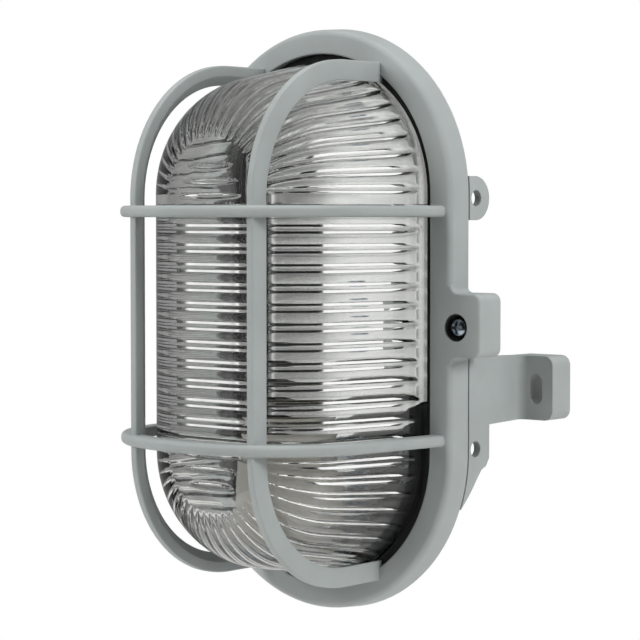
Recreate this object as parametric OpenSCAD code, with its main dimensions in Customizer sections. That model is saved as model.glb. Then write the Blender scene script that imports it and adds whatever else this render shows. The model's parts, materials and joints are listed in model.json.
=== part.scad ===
// Oval bulkhead light: wall base, hinged guard, glass diffuser and E27 lampholder.
// Every module works in a lamp frame: X right, Y up, Z forward from the wall.
// in_frame() turns that to the object frame: X right, Z up, front towards -Y, wall at y = 0.

/* [Guard ring] */
// Height of the guard ring
ring_h = 210; // [204:1:220]
// Width of the guard ring
ring_w = 120; // [118:1:126]
// Distance from the wall to the back edge of the guard ring
standoff = 42.4; // [41:0.2:46]
// Depth of the guard ring from its back edge to its front lip
ring_depth = 10.2; // [10:0.1:11]
// Width of the ring's front face
ring_face_w = 9.5; // [9:0.1:9.8]
// Wall thickness of the guard's skirt
skirt_t = 2.4; // [2:0.1:2.6]

/* [Guard bars] */
// Distance of each upright bar from the middle
bar_x = 27; // [25:0.5:28]
// Width of an upright bar
bar_w = 2.8; // [2.4:0.1:3]
// Depth of an upright bar on its outer side
bar_t = 7.2; // [6.6:0.1:7.4]
// Depth taken off a bar's inner side to follow the glass
bar_slant = 3.5; // [3:0.1:3.8]
// Reach of the upright bars ahead of the ring's back edge
bar_reach = 77.3; // [77:0.1:80]
// Bend radius of the upright bars
bar_r = 48; // [44:1:50]
// Height of each cross hoop above or below the middle
hoop_z = 39.7; // [37:0.1:41]
// Height of a cross hoop's section
hoop_h = 4; // [3.6:0.1:4.4]
// Depth of a cross hoop's section
hoop_w = 6.2; // [5:0.1:7]

/* [Glass] */
// Reach of the glass ahead of the ring's back edge
glass_reach = 69.3; // [67:0.1:69.5]
// Thickness of the glass
glass_t = 3.2; // [2.8:0.1:3.6]
// Bend radius of the glass shoulder
glass_r = 31; // [29:0.5:32]
// Number of ribs inside each straight side of the glass
side_ribs = 14; // [12:1:16]
// Number of ribs inside each round end of the glass
end_ribs = 22; // [18:1:26]
// Height of a glass rib
rib_h = 1.6; // [1.2:0.1:2]

/* [Base] */
// Wall thickness of the base
base_t = 2.5; // [2.2:0.1:2.8]
// Width of the wiring box behind the base
box_w = 37; // [36:0.5:38]
// Height of the wiring box
box_h = 96; // [94:1:98]
// Diameter of the cable entry
entry_d = 14; // [13:0.5:15]

/* [Fixings] */
// Reach of each fixing foot beyond the ring
foot_out = 13.8; // [13:0.2:16]
// Thickness of each fixing foot
foot_t = 11.2; // [9:0.2:12]
// Width of the slot in a fixing foot
slot_w = 5.6; // [5:0.1:6]
// Length of the slot in a fixing foot
slot_l = 10.7; // [10:0.1:12]
// Diameter of the hole in each side ear
ear_hole_d = 5.6; // [5:0.1:6]
// Shank diameter of the guard screw
screw_d = 3.9; // [3.6:0.1:4]
// Diameter of the hinge pin
pin_d = 3; // [2.6:0.1:3.2]

/* [Lampholder] */
// Outside diameter of the lampholder
holder_d = 38; // [36:0.5:39]
// Height of the lampholder
holder_h = 38; // [36:0.5:40]

/* [Hidden] */
$fn = 96;

// Fits and small shared sizes
fit = 0.1;
hinge_fit = 0.08;
parting = 0.3;
swing_gap = 0.4;
eps = 0.5;
arc_steps = 14;
glass_steps = 9;

// Ring: an upright oval made of two half circles joined by straights
ring_r = ring_w / 2;
pill_a = ring_h / 2 - ring_r;
ring_front = standoff + ring_depth;
lip_t = 2.6;
lip_back = ring_front - lip_t;
lip_r = ring_r - ring_face_w;
skirt_in = ring_r - skirt_t;
edge_r = 2.4;
edge_turn = 84;
edge_steps = 5;
draft = 0.8;
face_drop = 0.6;

// Upright bars
bar_z = ring_h / 2 - 13.5;
bar_arc_z = bar_z - bar_r;
bar_arc_d = standoff + bar_reach - bar_r;
bar_root = ring_front - 1.6;

// Cross hoops: a wide front arc, a tighter corner arc and a straight side
hoop_reach = standoff + bar_reach + 4;
hoop_drop = 0.5;
hoop_front_r = 75;
hoop_corner_r = 40;
hoop_front_x = 20;
hoop_end = [ring_r - 6, ring_front - 1.4];
hoop_bend = asin(hoop_front_x / hoop_front_r);
hoop_c1 = [0, hoop_reach - hoop_front_r];
hoop_c2 = hoop_c1 + (hoop_front_r - hoop_corner_r) * [sin(hoop_bend), cos(hoop_bend)];
hoop_side = tangent_angle(hoop_end, hoop_c2, hoop_corner_r);
sleeve_over = 0.12;
sleeve_l = 1.6;
sleeve_gap = 0.2;
hoop_touch = hoop_c2 + hoop_corner_r * [cos(hoop_side), sin(hoop_side)];

// Screw boss on the guard's closing side
boss_h = 22;
boss_out = 11.5;
boss_corner = 3;
boss_back = standoff - 2.7;
boss_front = ring_front - face_drop;
screw_x = ring_r + 1.4;
screw_y = -0.8;
bore_d = 9.6;
bore_depth = 3.4;
bore_pad = 8;
pad_in = ring_r - 4.1;
washer_t = 0.8;
washer_d = 8.8;
head_d = 7.4;
head_h = 2.4;
head_recess = [4.4, 1.1, 1.3];
shank_hole_d = screw_d + 0.6;
insert_d = screw_d + 2.0;
insert_bore = screw_d + 0.8;
insert_l = 5.5;
insert_wall = 1.4;

// Hinge on the other side, level with the middle of the screw's thread
hinge_x = -(ring_r + 6);
hinge_d = standoff - 6;
hinge_r = 4.2;
knuckle_h = boss_h / 2;
knuckle_front = ring_front - 4.8;
lug_h = 5;
lug_rise = 3;
lug_end = knuckle_h + swing_gap + lug_h;

// Glass, with a flange held in a channelled gasket
flange_r = ring_r - 6.5;
flange_d0 = standoff + 4;
flange_d1 = standoff + 6.2;
collar_r = lip_r - 3;
collar_d = standoff + 12;
glass_front = standoff + glass_reach;
shoulder_r = ring_r - 18.5 - glass_r;
gasket_out = ring_r - 4.3;
gasket_in = collar_r + fit;
gasket_d0 = standoff + 2.5;
rib_start = standoff + 10;
rib_fade = 13;
rib_share = 0.36;
short_ribs = [[1.4, 10], [6.4, 8.6], [11.2, 6]];
rib_pitch = 2 * pill_a / side_ribs;
rib_turn = 180 / end_ribs;

// Base pan
rim_r = ring_r - 4.6;
rim_in = ring_r - 8.5;
rim_d = gasket_d0 - fit;
pan_top = standoff - 1;
pan_floor = standoff - 12;
pan_back = pan_floor - base_t;
pan_back_r = rim_r - (pan_top - pan_back);
ledge_d = standoff - 6;
ledge_out = ring_r - 13;
ledge_in = ring_r - 16.5;
ledge_t = 2;
floor_r = ring_r - 21.5;
box_corner = 5;
entry_z = 14;
entry_y = -box_h / 2;
grommet_lip = 1.6;
grommet_wall = 3.2;

// Side ears and feet
ear_y = 43.8;
ear_r = 7.65;
ear_d = standoff - 4.1;
ear_front = standoff - parting;
web_end = standoff - 12.3;
ear_pad = 4;
fin_edge = [[4, 0], [1.2, 1.6], [0, 4.2], [-3, 6.2], [-8, 8.8]];
fin_fade = 13.6;
arm_t = 3.5;
arm_top = -12.2;
arm_bottom = -36;
arm_taper = 0.9;
foot_x = ring_r + foot_out;
foot_corner = 3.5;
slot_out = 6.7;
slot_x = ring_r + slot_out;
slot_y = (arm_top + arm_bottom) / 2;
gusset_t = 3;

// Inner sheets and their posts
sheet_t = 1;
sheet_r = ledge_out - 0.4;
split_y = -28.5;
split_gap = 0.6;
tongue_w = 29;
tongue_tip_w = 3;
tongue_y = 21 - ring_h / 2;
sheet_front = ledge_d + sheet_t;
reflector_rim = standoff + 1;
post_r = 3.5;
post_x = 6;
post_low = 2;
post_top = 37;
reflector_posts = [[post_x, post_low], [post_x, ring_h / 2 - post_top]];
cover_post_x = 28;
cover_post_in = 57;
cover_posts = [[cover_post_x, cover_post_in - ring_h / 2], [-cover_post_x, cover_post_in - ring_h / 2]];
bracket_post_x = 5;
bracket_post_in = 45;
bracket_posts = [[bracket_post_x, bracket_post_in - ring_h / 2], [-bracket_post_x, bracket_post_in - ring_h / 2]];
small_screw_d = 2.9;
small_head_d = 5.6;
small_head_h = 1.8;
small_screw_l = 6;
small_recess = [3.2, 0.9, 1];

// Lampholder
holder_r = holder_d / 2;
holder_out = 26;
holder_end = 31;
holder_z = standoff + holder_out;
holder_y0 = holder_end - ring_h / 2;
holder_y1 = holder_y0 + holder_h;
holder_bore = 14.3;
holder_floor = holder_y0 + 8;
holder_rim_r = holder_r - 1.5;
holder_rim_h = 13;
shell_t = 0.8;
shell_h = 25;
contact_r = 3.5;
contact_h = 2.5;
shell_y = holder_floor + contact_h;
side_w = 4;
side_x0 = 9;
side_x1 = 14;
bracket_w = 18;
bracket_rise = 24;
bracket_t = 1.5;
bracket_top = holder_y0 + bracket_rise;
bracket_tip = 12;
bracket_end = holder_z + bracket_tip;
holder_screw_out = 8.5;
holder_screw_z = [holder_z - holder_screw_out, holder_z + holder_screw_out];
holder_screw_l = 6;

// Wiring
block_w = 24;
block_in = 18;
block_h = 16;
block_y0 = entry_y + block_in;
block_y1 = block_y0 + block_h;
block_d0 = base_t + 2.5;
block_d1 = 17;
tube_x = 7;
tube_r = 2.2;
tube_bore = 1.4;
tube_d = 11;
tube_y0 = block_y0 + 1;
tube_y1 = block_y1 - 1;
pinch_r = 1.3;
pinch_in = 4;
pinch_y = [block_y0 + pinch_in, block_y1 - pinch_in];
wire_r = 1;
wire_in = 3;
bend = 1.15;
wire_x = 13;
wire_rise = 4;
wire_y = holder_y0 + wire_rise;
wire_level = standoff - 9;
wire_drop = block_y0 - wire_in;
wire_slope = 6;
wire_short = 11.5;
wire_end = holder_z - wire_short;
wire_hole = wire_r + 0.4;
clamp_x = 10;
clamp_in = 7.3;
clamp_y = entry_y + clamp_in;
clamp_w = 26;
clamp_h = 6;
clamp_t = 3;
clamp_d = entry_z + entry_d / 2 - grommet_wall + 0.4;

// Angle of the outward normal of the straight from point p that touches a circle
function tangent_angle(p, c, r) =
  atan2(p[1] - c[1], p[0] - c[0]) + acos(r / norm(p - c));

// Points along an arc in a profile
function arc(c, r, a0, a1, n = arc_steps) =
  [for (i = [0:n]) c + r * [cos(a0 + (a1 - a0) * i / n), sin(a0 + (a1 - a0) * i / n)]];

// Turn from the lamp frame to the object frame
module in_frame() {
  rotate([90, 0, 0]) children();
}

// Upright oval, drawn flat
module pill(r) {
  translate([0, pill_a]) circle(r = r);
  translate([0, -pill_a]) circle(r = r);
  square([2 * r, 2 * pill_a], center = true);
}

// Oval slab between two distances from the wall
module pill_slab(r, d0, d1) {
  translate([0, 0, d0]) linear_extrude(d1 - d0) pill(r);
}

// A profile of radius and distance from the wall, carried round the oval
module pill_turn() {
  translate([0, pill_a, 0]) rotate_extrude(angle = 180) children();
  translate([0, -pill_a, 0]) rotate([0, 0, 180]) rotate_extrude(angle = 180) children();
  rotate([90, 0, 0]) linear_extrude(2 * pill_a, center = true) {
    children();
    mirror([1, 0]) children();
  }
}

// Cylinder along the wall's normal
module peg(r, x, y, d0, d1) {
  translate([x, y, d0]) cylinder(r = r, h = d1 - d0);
}

// Upright cylinder
module column(r, x, d, y0, y1) {
  translate([x, y0, d]) rotate([-90, 0, 0]) cylinder(r = r, h = y1 - y0);
}

// Box between two corners
module block(p, q) {
  translate(p) cube(q - p);
}

// Round rod between two points, with a slightly larger ball at its start
module rod(p, q, r) {
  v = q - p;
  translate(p) sphere(r = bend * r);
  translate(p) rotate([0, acos(v[2] / norm(v)), atan2(v[1], v[0])]) cylinder(r = r, h = norm(v));
}

// Rectangle with rounded corners
module rounded(w, h, r) {
  square([w - 2 * r, h], center = true);
  square([w, h - 2 * r], center = true);
  for (sx = [-1, 1], sy = [-1, 1]) {
    translate([sx * (w / 2 - r), sy * (h / 2 - r)]) circle(r = r);
  }
}

// Slot with round ends, standing upright
module slot(w, l) {
  square([w, l - w], center = true);
  for (s = [-1, 1]) translate([0, s * (l - w) / 2]) circle(d = w);
}

// Pan head screw whose head rests at distance d
module small_screw(p, d, l = small_screw_l) {
  peg(small_screw_d / 2, p[0], p[1], d - l, d + eps);
  difference() {
    peg(small_head_d / 2, p[0], p[1], d, d + small_head_h);
    cross_recess(p[0], p[1], d + small_head_h);
  }
}

// Cross recess sunk from the front
module cross_recess(x, y, d, size = small_recess) {
  translate([x, y, d]) cube([size[0], size[1], 2 * size[2]], center = true);
  translate([x, y, d]) cube([size[1], size[0], 2 * size[2]], center = true);
}

// Shapes of a flat side plate: height across, distance from the wall along
module side_plate(x0, x1) {
  translate([x0, 0, 0]) rotate([90, 0, 90]) linear_extrude(x1 - x0) children();
}

// Guard ring in section
module ring_section() {
  polygon(concat(
    [[skirt_in, standoff], [ring_r, standoff], [ring_r - draft, ring_front - face_drop - edge_r]],
    arc([ring_r - draft - edge_r, ring_front - face_drop - edge_r], edge_r, 0, edge_turn, edge_steps),
    [[lip_r, ring_front], [lip_r, lip_back], [skirt_in, lip_back]]
  ));
}

// Section of the right upright bar: radius out, offset from its middle
module bar_section() {
  polygon([
    [bar_r, -bar_w / 2], [bar_r, bar_w / 2],
    [bar_r - bar_t, bar_w / 2], [bar_r - bar_t + bar_slant, -bar_w / 2]
  ]);
}

// Half of one upright bar, from the front middle over the top to the ring
module half_bar() {
  translate([bar_x, bar_arc_z, bar_arc_d]) rotate([0, 90, 0])
    rotate_extrude(angle = 90, start = 90) bar_section();
  translate([bar_x, bar_arc_z / 2, bar_arc_d]) rotate([90, 0, 0])
    linear_extrude(bar_arc_z, center = true) mirror([1, -1]) bar_section();
  translate([bar_x, bar_arc_z, bar_root])
    linear_extrude(bar_arc_d - bar_root) mirror([1, -1]) bar_section();
}

// Short sleeve over a joint of two hoop runs, at p in plan with its outward normal at angle a
module hoop_sleeve(p, a) {
  translate([p[0], 0, p[1]]) rotate([0, -a, 0])
    linear_extrude(sleeve_l, center = true) square([hoop_w + sleeve_over, hoop_h + sleeve_over], center = true);
}

// Bent run of a hoop round a centre in plan, from angle a0 to angle a1
module hoop_bend_run(c, r, a0, a1) {
  translate([c[0], 0, c[1]]) rotate([90, 0, 0])
    rotate_extrude(angle = a1 - a0 - 2 * sleeve_gap, start = a0 + sleeve_gap)
      translate([r, 0]) square([hoop_w, hoop_h], center = true);
}

// One cross hoop, centred on its own height
module hoop() {
  hoop_bend_run(hoop_c1, hoop_front_r, 90 - hoop_bend, 90 + hoop_bend);
  for (s = [0, 1]) mirror([s, 0, 0]) {
    hoop_bend_run(hoop_c2, hoop_corner_r, hoop_side, 90 - hoop_bend);
    translate([hoop_end[0], 0, hoop_end[1]]) rotate([0, -hoop_side, 0])
      linear_extrude(norm(hoop_touch - hoop_end)) square([hoop_w, hoop_h], center = true);
    hoop_sleeve(hoop_touch, hoop_side);
    hoop_sleeve(hoop_c1 + hoop_front_r * [sin(hoop_bend), cos(hoop_bend)], 90 - hoop_bend);
  }
}

// Outline of the screw boss, and of its fillets to the ring
module boss_outline() {
  x1 = ring_r + boss_out;
  y1 = boss_h / 2;
  translate([skirt_in, -y1]) square([x1 - skirt_in - boss_corner, boss_h]);
  translate([skirt_in, -y1 + boss_corner]) square([x1 - skirt_in, boss_h - 2 * boss_corner]);
  for (s = [-1, 1]) {
    translate([x1 - boss_corner, s * (y1 - boss_corner)]) circle(r = boss_corner);
  }
}
module boss_fillets() {
  y1 = boss_h / 2;
  for (s = [-1, 1]) difference() {
    translate([skirt_in, s > 0 ? y1 - eps : -y1 - boss_corner])
      square([ring_r - draft - skirt_in + boss_corner, boss_corner + eps]);
    translate([ring_r - draft + boss_corner, s * (y1 + boss_corner)]) circle(r = boss_corner);
  }
}

// Knuckle in plan, with the arm that joins it to the ring
module knuckle_plan() {
  translate([hinge_x, hinge_d]) circle(r = hinge_r);
  polygon([
    [hinge_x - hinge_r, hinge_d], [hinge_x - hinge_r, standoff + eps],
    [hinge_x, knuckle_front], [-skirt_in, knuckle_front],
    [-skirt_in, standoff + fit], [hinge_x + hinge_r, standoff - eps], [hinge_x + hinge_r, hinge_d]
  ]);
}

// Moulded guard: ring, bars, hoops, screw boss and hinge knuckle in one piece
module cage() {
  color("lightslategray") in_frame() difference() {
    union() {
      pill_turn() ring_section();
      for (mx = [0, 1], my = [0, 1]) mirror([mx, 0, 0]) mirror([0, my, 0]) half_bar();
      for (s = [-1, 1]) translate([0, s * hoop_z - hoop_drop, 0]) hoop();
      translate([0, 0, boss_back]) linear_extrude(boss_front - boss_back) boss_outline();
      translate([0, 0, standoff]) linear_extrude(boss_front - face_drop - standoff) boss_fillets();
      block([pad_in, screw_y - bore_pad, standoff], [skirt_in + eps, screw_y + bore_pad, lip_back + eps]);
      rotate([90, 0, 0]) linear_extrude(2 * knuckle_h, center = true) knuckle_plan();
    }
    peg(bore_d / 2, screw_x, screw_y, boss_front - bore_depth, ring_front + eps);
    peg(shank_hole_d / 2, screw_x, screw_y, boss_back - eps, ring_front);
    column(pin_d / 2 + hinge_fit, hinge_x, hinge_d, -lug_end, lug_end);
  }
}

// Profile of the glass: outside or inside face, down to the given start
module glass_face(t, d0) {
  c = [shoulder_r, glass_front - glass_r];
  start = [collar_r - t, collar_d];
  a = tangent_angle(start, c, glass_r - t);
  polygon(concat(
    [[0, d0], [collar_r - t, d0], start],
    arc(c, glass_r - t, a, 90, glass_steps),
    [[0, glass_front - t]]
  ));
}

// Section of a rib, sunk into the wall and starting at the given radius
module rib_section(r0) {
  intersection() {
    difference() {
      glass_face(glass_t - eps, rib_start - eps);
      glass_face(glass_t + rib_h, rib_start - 2 * eps);
    }
    translate([r0, rib_start]) square([ring_r, glass_front]);
  }
}

// Ribs that lie level on the straights and fan out round the ends
module glass_ribs() {
  for (i = [0:side_ribs - 1]) {
    translate([0, (i + 0.5) * rib_pitch - pill_a, 0]) rotate([90, 0, 0])
      linear_extrude(rib_pitch * rib_share, center = true) {
        rib_section(0);
        mirror([1, 0]) rib_section(0);
      }
  }
  for (e = [0, 1], i = [0:end_ribs - 1]) {
    rotate([0, 0, 180 * e]) translate([0, pill_a, 0])
      rotate_extrude(angle = rib_turn * rib_share, start = (i + (1 - rib_share) / 2) * rib_turn)
        rib_section(rib_fade);
  }
  for (s = [-1, 1], r = short_ribs) {
    y = s * (pill_a + r[0]);
    w = rib_pitch * rib_share / 2;
    block([-r[1], y - w, glass_front - glass_t - rib_h], [r[1], y + w, glass_front - glass_t + eps]);
  }
}

// Glass diffuser: an oval bowl with a flat flange at its open side and ribs inside
module glass_diffuser() {
  color("lightcyan", 0.4) in_frame() {
    pill_turn() difference() {
      union() {
        glass_face(0, flange_d0);
        translate([0, flange_d0]) square([flange_r, flange_d1 - flange_d0]);
      }
      glass_face(glass_t, flange_d0 - eps);
    }
    glass_ribs();
  }
}

// Rubber channel round the glass flange
module glass_gasket() {
  color("dimgray") in_frame() pill_turn() difference() {
    translate([gasket_in, gasket_d0]) square([gasket_out - gasket_in, lip_back - gasket_d0]);
    translate([gasket_in - eps, flange_d0]) square([flange_r - gasket_in + eps, flange_d1 - flange_d0]);
  }
}

// Base pan in section
module pan_section() {
  polygon([
    [rim_in, rim_d], [rim_r, rim_d], [rim_r, pan_top], [pan_back_r, pan_back], [0, pan_back],
    [0, pan_floor], [floor_r, pan_floor], [ledge_in, ledge_d - ledge_t], [ledge_in, ledge_d],
    [ledge_out, ledge_d], [rim_in, pan_top]
  ]);
}

// Space inside the pan, sunk a little into its wall
module pan_hollow() {
  polygon([
    [0, pan_floor - eps], [floor_r + eps, pan_floor - eps], [ledge_in + eps, ledge_d - ledge_t],
    [ledge_in + eps, ledge_d - eps], [ledge_out, ledge_d - eps], [rim_in + eps, pan_top - eps],
    [rim_in + eps, 2 * standoff], [0, 2 * standoff]
  ]);
}

// Outline of the upper side ear
module ear_outline() {
  translate([ear_y, ear_d]) circle(r = ear_r);
  translate([ear_y - ear_r, ear_d]) square([2 * ear_r, ear_front - ear_d]);
}

// Outline of the lower ear with the web to the arm and the fin that fades into the ring
module fin_outline() {
  y0 = -ear_y - ear_r;
  polygon(concat(
    [[y0 - fin_fade, ear_front], [arm_bottom + eps, ear_front], [arm_bottom + eps, web_end]],
    [for (p = fin_edge) [y0, web_end] + p]
  ));
}

// Ears, arm and foot on the right side
module side_fixings() {
  intersection() {
    difference() {
      pill_slab(ring_r, web_end - eps, ear_front);
      pill_slab(skirt_in - parting, web_end - 2 * eps, ear_front + eps);
    }
    side_plate(0, ring_r + eps) {
      ear_outline();
      fin_outline();
    }
  }
  for (y = [ear_y - ear_r, ear_y + ear_r - ear_pad, -ear_y + ear_r - ear_pad, -ear_y - ear_r]) {
    block([rim_in, y, ear_front - ear_pad], [skirt_in + eps, y + ear_pad, ear_front]);
  }
  side_plate(ring_r - arm_t, ring_r) polygon([
    [arm_top + arm_taper, ear_front], [arm_top, foot_t], [arm_top, 0],
    [arm_bottom + arm_taper, 0], [arm_bottom + arm_taper, foot_t], [arm_bottom, ear_front]
  ]);
  block([rim_in, arm_bottom + arm_t, ear_front - ear_pad], [ring_r - eps, arm_top, ear_front]);
  translate([0, slot_y, 0]) rotate([90, 0, 0]) linear_extrude(gusset_t, center = true) polygon([
    [ring_r - eps, ear_front], [ring_r - eps, foot_t], [ring_r - 2 * arm_t, foot_t],
    [pan_back_r - base_t, pan_back + eps], [rim_in - base_t, ear_front]
  ]);
  foot();
}

// Fixing foot that turns outwards at the wall
module foot() {
  y1 = arm_top;
  y0 = arm_bottom + arm_taper;
  x0 = ring_r - arm_t;
  linear_extrude(foot_t) {
    translate([x0, y0]) square([foot_x - foot_corner - x0, y1 - y0]);
    translate([x0, y0 + foot_corner]) square([foot_x - x0, y1 - y0 - 2 * foot_corner]);
    for (y = [y0 + foot_corner, y1 - foot_corner]) {
      translate([foot_x - foot_corner, y]) circle(r = foot_corner);
    }
  }
  translate([ring_r - eps, y0, foot_t - eps]) difference() {
    cube([foot_corner, y1 - y0, foot_corner]);
    translate([foot_corner, -eps, foot_corner]) rotate([-90, 0, 0])
      cylinder(r = foot_corner - eps, h = y1 - y0 + 2 * eps);
  }
}

// Openings of one side's fixings
module side_cuts() {
  translate([slot_x, slot_y, -eps]) linear_extrude(foot_t + 2 * eps) slot(slot_w, slot_l);
  for (s = [-1, 1]) {
    translate([skirt_in - skirt_t, s * ear_y, ear_d]) rotate([0, 90, 0])
      cylinder(d = ear_hole_d, h = 3 * skirt_t);
  }
}

// Hinge lug in plan, joined to the pan
module lug_plan() {
  translate([hinge_x, hinge_d]) circle(r = hinge_r);
  polygon([
    [hinge_x, hinge_d + hinge_r], [hinge_x, hinge_d - hinge_r],
    [-pan_back_r, hinge_d - hinge_r - base_t], [-rim_in, hinge_d], [-rim_r + 2 * eps, hinge_d + lug_rise]
  ]);
}

// Posts inside the base
module base_posts() {
  for (p = concat(cover_posts, bracket_posts, [reflector_posts[1]])) {
    peg(post_r, p[0], p[1], pan_back + eps, ledge_d);
  }
  peg(post_r, reflector_posts[0][0], reflector_posts[0][1], eps, ledge_d);
  for (s = [-1, 1]) peg(post_r - eps, s * clamp_x, clamp_y, eps, clamp_d);
  block([-block_w / 4, block_y0 + 2, eps], [block_w / 4, block_y1 - 2, block_d0]);
}

// Moulded base: pan, wiring box, fixings, hinge lugs and the boss for the guard screw
module base() {
  boss_r = insert_d / 2 + insert_wall;
  boss_top = boss_back - parting;
  boss_low = boss_top - insert_l - eps;
  color("silver") in_frame() difference() {
    union() {
      difference() {
        union() {
          pill_turn() pan_section();
          linear_extrude(pan_floor - eps) rounded(box_w, box_h, box_corner);
        }
        translate([0, 0, base_t]) linear_extrude(standoff)
          rounded(box_w - 2 * base_t, box_h - 2 * base_t, box_corner - base_t);
      }
      base_posts();
      difference() {
        union() {
          side_fixings();
          rotate([0, 0, 180]) side_fixings();
          peg(boss_r, screw_x, screw_y, boss_low, boss_top);
          block([floor_r, screw_y - boss_r, boss_low], [screw_x, screw_y + boss_r, boss_top]);
        }
        pill_turn() pan_hollow();
      }
      for (s = [-1, 1]) {
        translate([0, s * (knuckle_h + swing_gap + lug_h / 2), 0]) rotate([90, 0, 0])
          linear_extrude(lug_h, center = true) lug_plan();
      }
    }
    side_cuts();
    rotate([0, 0, 180]) side_cuts();
    peg(insert_d / 2, screw_x, screw_y, boss_low - eps, boss_top + eps);
    column(pin_d / 2, hinge_x, hinge_d, -lug_end - eps, lug_end + eps);
    column(entry_d / 2, 0, entry_z, entry_y - eps, entry_y + base_t + eps);
    for (p = concat(cover_posts, reflector_posts)) {
      peg(small_screw_d / 2, p[0], p[1], sheet_front - small_screw_l - eps, ledge_d + eps);
    }
    for (p = bracket_posts) peg(small_screw_d / 2, p[0], p[1], pan_floor, ledge_d + eps);
    for (s = [-1, 1]) peg(small_screw_d / 2, s * clamp_x, clamp_y, base_t, clamp_d + eps);
    peg(small_screw_d / 2, 0, (block_y0 + block_y1) / 2, base_t / 2, block_d0 + eps);
  }
}

// Line between the two inner sheets, with the reflector's tongue that runs down behind the lampholder
function split_line(grow) = [
  [ring_r, split_y - grow], [tongue_w + grow, split_y - grow], [tongue_tip_w + grow, tongue_y - grow],
  [-tongue_tip_w - grow, tongue_y - grow], [-tongue_w - grow, split_y - grow], [-ring_r, split_y - grow]
];

// Polished reflector: a flat sheet with its edge turned forward
module reflector() {
  color("gainsboro") in_frame() difference() {
    translate([0, 0, ledge_d]) linear_extrude(reflector_rim - ledge_d) intersection() {
      pill(sheet_r);
      polygon(concat(split_line(0), [[-ring_r, ring_h], [ring_r, ring_h]]));
    }
    translate([0, 0, sheet_front]) linear_extrude(standoff) pill(sheet_r - sheet_t);
    for (p = concat(reflector_posts, bracket_posts)) {
      peg(small_screw_d / 2 + fit, p[0], p[1], ledge_d - eps, sheet_front + eps);
    }
  }
}

// Screws that hold the reflector
module reflector_screws() {
  color("silver") in_frame() for (p = reflector_posts) small_screw(p, sheet_front);
}

// Black cover over the wiring, on both sides of the reflector's tongue
module terminal_cover() {
  color("black") in_frame() difference() {
    translate([0, 0, ledge_d]) linear_extrude(sheet_t) intersection() {
      pill(sheet_r);
      polygon(concat(split_line(split_gap), [[-ring_r, -ring_h], [ring_r, -ring_h]]));
    }
    for (p = cover_posts) {
      peg(small_screw_d / 2 + fit, p[0], p[1], ledge_d - eps, sheet_front + eps);
    }
    for (s = [-1, 1]) peg(wire_hole, s * wire_x, wire_y, ledge_d - eps, sheet_front + eps);
  }
}

// Screws that hold the cover
module cover_screws() {
  color("silver") in_frame() for (p = cover_posts) small_screw(p, sheet_front);
}

// Porcelain lampholder standing upright, open at the top
module lampholder_body() {
  color("white") in_frame() difference() {
    union() {
      column(holder_r, 0, holder_z, holder_y0, holder_y1 - holder_rim_h);
      column(holder_rim_r, 0, holder_z, holder_y0 + eps, holder_y1);
    }
    column(holder_bore, 0, holder_z, holder_floor, holder_y1 + eps);
    for (s = [-1, 1]) peg(wire_hole, s * wire_x, wire_y, holder_z - holder_r, wire_end);
    for (d = holder_screw_z) {
      column(small_screw_d / 2, 0, d, holder_y0 - eps, holder_y0 + holder_screw_l - bracket_t + eps);
    }
  }
}

// Threaded shell of the lampholder, drawn as a plain sleeve
module lampholder_shell() {
  color("gold") in_frame() difference() {
    column(holder_bore - fit, 0, holder_z, shell_y, shell_y + shell_h);
    column(holder_bore - fit - shell_t, 0, holder_z, shell_y - eps, shell_y + shell_h + eps);
  }
}

// Middle contact at the bottom of the lampholder
module centre_contact() {
  color("gold") in_frame() column(contact_r, 0, holder_z, holder_floor, holder_floor + contact_h);
}

// Side contact that feeds the shell
module side_contact() {
  color("gold") in_frame()
    block(
      [side_x0, holder_floor, holder_z - side_w / 2],
      [side_x1, holder_floor + contact_h, holder_z + side_w / 2]
    );
}

// Bent steel strip that carries the lampholder
module lampholder_bracket() {
  y0 = holder_y0 - bracket_t;
  color("silver") in_frame() difference() {
    union() {
      block([-bracket_w / 2, y0, sheet_front], [bracket_w / 2, holder_y0, bracket_end]);
      block([-bracket_w / 2, y0, sheet_front], [bracket_w / 2, bracket_top, sheet_front + bracket_t]);
    }
    for (p = bracket_posts) {
      peg(small_screw_d / 2 + fit, p[0], p[1], sheet_front - eps, sheet_front + bracket_t + eps);
    }
    for (d = holder_screw_z) column(small_screw_d / 2 + fit, 0, d, y0 - eps, holder_y0 + eps);
  }
}

// Screws from below into the lampholder
module holder_screws() {
  y0 = holder_y0 - bracket_t;
  color("silver") in_frame() for (d = holder_screw_z) {
    column(small_screw_d / 2, 0, d, y0 - eps, y0 + holder_screw_l);
    column(small_head_d / 2, 0, d, y0 - small_head_h, y0);
  }
}

// Screws that hold the bracket to the base
module bracket_screws() {
  color("silver") in_frame() for (p = bracket_posts) {
    small_screw(p, sheet_front + bracket_t, 2 * bracket_t + sheet_t);
  }
}

// Two-way terminal block on the back wall of the box
module terminal_block() {
  ym = (block_y0 + block_y1) / 2;
  color("ivory") in_frame() difference() {
    block([-block_w / 2, block_y0, block_d0], [block_w / 2, block_y1, block_d1]);
    for (s = [-1, 1]) {
      column(tube_r, s * tube_x, tube_d, block_y0 - eps, block_y1 + eps);
      for (y = pinch_y) peg(pinch_r + fit, s * tube_x, y, tube_d, block_d1 + eps);
    }
    peg(small_screw_d / 2 + fit, 0, ym, block_d0 - eps, block_d1 + eps);
  }
}

// Brass tubes of the terminal block
module terminal_tubes() {
  color("gold") in_frame() for (s = [-1, 1]) difference() {
    column(tube_r, s * tube_x, tube_d, tube_y0, tube_y1);
    column(tube_bore, s * tube_x, tube_d, tube_y0 - eps, tube_y1 + eps);
    for (y = pinch_y) peg(pinch_r, s * tube_x, y, tube_d, block_d1);
  }
}

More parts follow.
